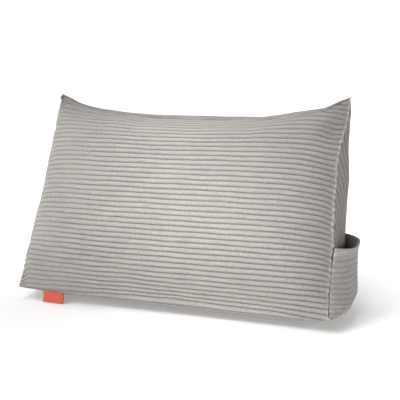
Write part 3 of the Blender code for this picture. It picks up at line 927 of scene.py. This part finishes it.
# Corduroy: colours, the pile heights at which they are full, the noises that vary its tone
# as (stretch on the cloth, scale, detail, roughness, least tone, most tone), and its bump
# The groove colour is darker partly as the grooves' own colour and partly as painted shade in them
GROOVE_SHADE_COLOUR = (0.225, 0.210, 0.196, 1.0)
CREST_COLOUR = (0.425, 0.400, 0.378, 1.0)
GROOVE_PILE = 0.15
CREST_PILE = 0.92
CORDUROY_NOISES = {
    "tuft": ((0.8, 1.7, 1.0), 250.0, 3.0, 0.6, 0.81, 1.17),
    "fibre": ((0.8, 1.4, 1.0), 620.0, 2.0, 0.6, 0.89, 1.11),
    "patch": ((0.8, 3.0, 1.0), 38.0, 2.0, 0.5, 0.94, 1.06),
    "lie": ((1.0, 1.6, 1.0), 9.0, 2.0, 0.5, 0.97, 1.03),
}
CORDUROY_ROUGHNESS = (0.86, 1.0)
CORDUROY_SPECULAR = 0.12
SHEEN = 0.30
SHEEN_ROUGHNESS = 0.55
SHEEN_TINT = (0.96, 0.93, 0.90, 1.0)
TUFT_BUMP_SHARE = 0.7
CORDUROY_BUMP = 0.0015
CORDUROY_BUMP_STRENGTH = 0.85

# Ribbon: colours of its edges and its middle, ribs, threads and patches
RIBBON_EDGE_COLOUR = (0.46, 0.062, 0.022, 1.0)
RIBBON_COLOUR = (0.76, 0.124, 0.054, 1.0)
RIB_SCALE = 310.0
RIB_DISTORTION = 0.4
RIB_TONES = (0.90, 1.05)
THREAD_STRETCH = (3.0, 1.0, 1.0)
THREAD_SCALE = 700.0
THREAD_TONES = (0.95, 1.05)
RIBBON_PATCH_SCALE = 60.0
RIBBON_PATCH_TONES = (0.96, 1.04)
RIBBON_ROUGHNESS = (0.45, 0.6)
RIBBON_SHEEN = 0.15
RIBBON_BUMP = 0.0002
RIBBON_BUMP_STRENGTH = 0.6

# Range of a noise that is spread over its tones
NOISE_RANGE = (0.3, 0.7)


class Nodes:
    """Short calls for making one material's nodes."""

    def __init__(self, name):
        self.material = bpy.data.materials.new(name)
        self.material.use_nodes = True
        self.tree = self.material.node_tree
        self.shader = self.tree.nodes["Principled BSDF"]

    def link(self, value, socket):
        if isinstance(value, bpy.types.NodeSocket):
            self.tree.links.new(value, socket)
        else:
            socket.default_value = value

    def attribute(self, name, output):
        node = self.tree.nodes.new("ShaderNodeAttribute")
        node.attribute_name = name
        return node.outputs[output]

    def scaled(self, vector, scale):
        node = self.tree.nodes.new("ShaderNodeMapping")
        self.link(vector, node.inputs["Vector"])
        node.inputs["Scale"].default_value = scale
        return node.outputs["Vector"]

    def noise(self, vector, scale, detail=2.0, roughness=0.5):
        node = self.tree.nodes.new("ShaderNodeTexNoise")
        self.link(vector, node.inputs["Vector"])
        node.inputs["Scale"].default_value = scale
        node.inputs["Detail"].default_value = detail
        node.inputs["Roughness"].default_value = roughness
        return node.outputs["Fac"]

    def ranged(self, value, from_range, to_range):
        node = self.tree.nodes.new("ShaderNodeMapRange")
        self.link(value, node.inputs["Value"])
        for name, number in zip(("From Min", "From Max", "To Min", "To Max"), (*from_range, *to_range)):
            node.inputs[name].default_value = number
        return node.outputs["Result"]

    def math(self, kind, first, second):
        node = self.tree.nodes.new("ShaderNodeMath")
        node.operation = kind
        self.link(first, node.inputs[0])
        self.link(second, node.inputs[1])
        return node.outputs["Value"]

    def mix(self, share, first, second):
        node = self.tree.nodes.new("ShaderNodeMix")
        node.data_type = "RGBA"
        self.link(share, node.inputs["Factor"])
        self.link(first, node.inputs["A"])
        self.link(second, node.inputs["B"])
        return node.outputs["Result"]

    def scale_colour(self, colour, value):
        node = self.tree.nodes.new("ShaderNodeVectorMath")
        node.operation = "SCALE"
        self.link(colour, node.inputs[0])
        self.link(value, node.inputs["Scale"])
        return node.outputs["Vector"]

    def bump(self, height, distance, strength):
        node = self.tree.nodes.new("ShaderNodeBump")
        self.link(height, node.inputs["Height"])
        node.inputs["Distance"].default_value = distance
        node.inputs["Strength"].default_value = strength
        return node.outputs["Normal"]

    def set(self, **values):
        """Set or link the shader's sockets, named with _ for a space."""
        for name, value in values.items():
            self.link(value, self.shader.inputs[name.replace("_", " ")])


def corduroy_material():
    """Soft ribbed pile: grooves dark partly by their own colour and partly by painted shade, pale velvety
    crests, tufts and uneven lie of the pile.
    """
    n = Nodes("corduroy")
    cloth = n.attribute("cloth", "Vector")
    tone_shade_glint = n.attribute("tone_shade_glint", "Fac")
    colour = n.mix(n.ranged(tone_shade_glint, (GROOVE_PILE, CREST_PILE), (0.0, 1.0)), GROOVE_SHADE_COLOUR, CREST_COLOUR)
    noises = {}
    for name, (stretch, scale, detail, roughness, least, most) in CORDUROY_NOISES.items():
        noises[name] = n.noise(n.scaled(cloth, stretch), scale, detail, roughness)
        colour = n.scale_colour(colour, n.ranged(noises[name], NOISE_RANGE, (least, most)))
    # Tone above 1 lightens the colour: the painted highlights at the right front seam and at the pocket's
    # front edge
    colour = n.scale_colour(colour, n.ranged(tone_shade_glint, (1.0, 2.0), (1.0, 2.0)))
    height = n.math("ADD", n.math("MULTIPLY", noises["tuft"], TUFT_BUMP_SHARE),
                    n.math("MULTIPLY", noises["fibre"], 1.0 - TUFT_BUMP_SHARE))
    n.set(Base_Color=colour, Roughness=n.ranged(noises["tuft"], NOISE_RANGE, CORDUROY_ROUGHNESS),
          Specular_IOR_Level=CORDUROY_SPECULAR, Sheen_Weight=SHEEN, Sheen_Roughness=SHEEN_ROUGHNESS,
          Sheen_Tint=SHEEN_TINT, Normal=n.bump(height, CORDUROY_BUMP, CORDUROY_BUMP_STRENGTH))
    return n.material


def ribbon_material():
    """Tightly woven ribbon with fine cross ribs and darker edges."""
    n = Nodes("ribbon")
    cloth = n.attribute("cloth", "Vector")
    middle = n.attribute("tone_shade_glint", "Fac")
    rib = n.tree.nodes.new("ShaderNodeTexWave")
    n.link(cloth, rib.inputs["Vector"])
    rib.bands_direction = "Y"
    rib.inputs["Scale"].default_value = RIB_SCALE
    rib.inputs["Distortion"].default_value = RIB_DISTORTION
    thread = n.noise(n.scaled(cloth, THREAD_STRETCH), THREAD_SCALE, 2.0, 0.6)
    patch = n.noise(cloth, RIBBON_PATCH_SCALE)
    colour = n.mix(middle, RIBBON_EDGE_COLOUR, RIBBON_COLOUR)
    colour = n.scale_colour(colour, n.ranged(rib.outputs["Fac"], (0.0, 1.0), RIB_TONES))
    colour = n.scale_colour(colour, n.ranged(thread, NOISE_RANGE, THREAD_TONES))
    colour = n.scale_colour(colour, n.ranged(patch, NOISE_RANGE, RIBBON_PATCH_TONES))
    n.set(Base_Color=colour, Roughness=n.ranged(thread, NOISE_RANGE, RIBBON_ROUGHNESS),
          Sheen_Weight=RIBBON_SHEEN, Normal=n.bump(rib.outputs["Fac"], RIBBON_BUMP, RIBBON_BUMP_STRENGTH))
    return n.material


# Backdrop: a round floor, whose rim starts at its radius and curves up; it glows more
# away from the pillow
FLOOR_RADIUS = 2.6
RIM_RADIUS = 2.4
RIM_HEIGHT_SHARE = 0.8
RIM_ANGLE = 78.0
RIM_STEPS = 20
FLOOR_TURNS = 96
FLOOR_COLOUR = (0.93, 0.93, 0.93, 1.0)
FLOOR_SPECULAR = 0.1
FLOOR_NOISE_SCALE = 3.0
FLOOR_ROUGHNESS = (0.55, 0.65)
GLOW_COLOUR = (1.0, 1.0, 1.0, 1.0)
GLOW_DISTANCES = (0.25, 0.60)
GLOW = (0.20, 0.46)


def floor_material():
    n = Nodes("backdrop")
    place = n.tree.nodes.new("ShaderNodeTexCoord").outputs["Object"]
    far = n.tree.nodes.new("ShaderNodeVectorMath")
    far.operation = "LENGTH"
    n.link(place, far.inputs[0])
    n.set(Base_Color=FLOOR_COLOUR, Specular_IOR_Level=FLOOR_SPECULAR, Emission_Color=GLOW_COLOUR,
          Roughness=n.ranged(n.noise(place, FLOOR_NOISE_SCALE), NOISE_RANGE, FLOOR_ROUGHNESS),
          Emission_Strength=n.ranged(far.outputs["Value"], GLOW_DISTANCES, GLOW))
    return n.material


def build_backdrop():
    """A round pale floor whose far rim curves up all round."""
    profile = [(0.0, 0.0), (0.6, 0.0), (1.4, 0.0), (FLOOR_RADIUS, 0.0)]
    profile += [(FLOOR_RADIUS + RIM_RADIUS * math.sin(a), RIM_RADIUS * (1.0 - math.cos(a)) * RIM_HEIGHT_SHARE)
                for a in np.linspace(0.0, math.radians(RIM_ANGLE), RIM_STEPS)[1:]]
    points, faces = [], []
    for radius, z in profile:
        for k in range(FLOOR_TURNS):
            a = 2.0 * math.pi * k / FLOOR_TURNS
            points.append((radius * math.cos(a), radius * math.sin(a), z))
    for i in range(len(profile) - 1):
        here, above = i * FLOOR_TURNS, (i + 1) * FLOOR_TURNS
        for k in range(FLOOR_TURNS):
            after = (k + 1) % FLOOR_TURNS
            faces.append((here + k, here + after, above + after, above + k))
    mesh = bpy.data.meshes.new("floor")
    mesh.from_pydata(points, [], faces)
    mesh.shade_smooth()
    made = bpy.data.objects.new("floor", mesh)
    bpy.context.scene.collection.objects.link(made)
    made.data.materials.append(floor_material())
    return made


# Lights, all LIGHT_DISTANCE from their targets. Suns: name, azimuth, elevation, width,
# strength. Spots: name, azimuth, elevation, target, cone, strength. Angles are in degrees
LIGHT_DISTANCE = 1.6
SPOT_SIZE = 0.18
SUNS = (
    ("sky_left", -50.0, 65.0, 45.0, 1.328),
    ("sky_low", -15.0, 20.0, 45.0, 0.404),
    ("sky_back", 180.0, 55.0, 60.0, 0.509),
    ("rim_left", -105.0, 28.0, 25.0, 0.8),
)
SPOTS = (
    ("spot_upper", -30.0, 45.0, (-0.02, 0.0, 0.30), 22.0, 34.5),
    ("spot_middle", -50.0, 50.0, (0.0, -0.05, 0.22), 20.0, 22.5),
    ("spot_left", -45.0, 30.0, (0.0, -0.05, 0.25), 26.0, 15.0),
    ("spot_lower", -30.0, 45.0, (0.12, -0.10, 0.10), 22.0, 29.0),
    ("spot_front", 0.0, 45.0, (0.12, -0.10, 0.10), 22.0, 24.0),
)

# Camera at the photo's place and angle
CAMERA_PLACE = (0.47404, -1.25298, 0.42476)
CAMERA_TARGET = (0.03959, -0.020, 0.20054)
CAMERA_LENS = 63.52
CAMERA_SENSOR = 36.0
CAMERA_NEAR = 0.05


def aim(thing, place, target):
    thing.location = place
    thing.rotation_euler = (Vector(target) - Vector(place)).to_track_quat("-Z", "Y").to_euler()


def add_light(name, kind, azimuth, elevation, target, strength):
    """A light that shines at a target from an azimuth, 0 in front and 90 at the right."""
    light = bpy.data.lights.new(name, kind)
    light.energy = strength
    made = bpy.data.objects.new(name, light)
    made.visible_camera = False
    bpy.context.scene.collection.objects.link(made)
    turn, rise = math.radians(azimuth), math.radians(elevation)
    way = Vector((math.sin(turn) * math.cos(rise), -math.cos(turn) * math.cos(rise), math.sin(rise)))
    aim(made, Vector(target) + LIGHT_DISTANCE * way, target)
    return light


def add_lights():
    for name, azimuth, elevation, width, strength in SUNS:
        light = add_light(name, "SUN", azimuth, elevation, (0.0, 0.0, 0.0), strength)
        light.angle = math.radians(width)
    for name, azimuth, elevation, target, cone, strength in SPOTS:
        light = add_light(name, "SPOT", azimuth, elevation, target, strength)
        light.spot_size = math.radians(cone)
        light.spot_blend = 1.0
        light.shadow_soft_size = SPOT_SIZE


def add_world():
    """A dark surround: all the light comes from the lights and the floor's glow."""
    world = bpy.data.worlds.new("studio")
    world.use_nodes = True
    world.node_tree.nodes["Background"].inputs["Color"].default_value = (1.0, 1.0, 1.0, 1.0)
    world.node_tree.nodes["Background"].inputs["Strength"].default_value = 0.0
    bpy.context.scene.world = world
    bpy.context.scene.view_settings.view_transform = "Standard"


def add_camera():
    camera = bpy.data.cameras.new("camera")
    camera.sensor_width = CAMERA_SENSOR
    camera.lens = CAMERA_LENS
    camera.clip_start = CAMERA_NEAR
    made = bpy.data.objects.new("camera", camera)
    bpy.context.scene.collection.objects.link(made)
    aim(made, CAMERA_PLACE, CAMERA_TARGET)
    bpy.context.scene.camera = made


pillow = build_pillow()
pocket = build_pocket()
label = build_label()

corduroy = corduroy_material()
pillow.data.materials.append(corduroy)
pocket.data.materials.append(corduroy)
label.data.materials.append(ribbon_material())

for piece, node, slot in ((pillow, "cushion", "corduroy"), (pocket, "side_pocket", "corduroy"),
                          (label, "label", "ribbon")):
    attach(piece, "root")
    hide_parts(node)

floor = build_backdrop()

add_lights()
add_world()
add_camera()
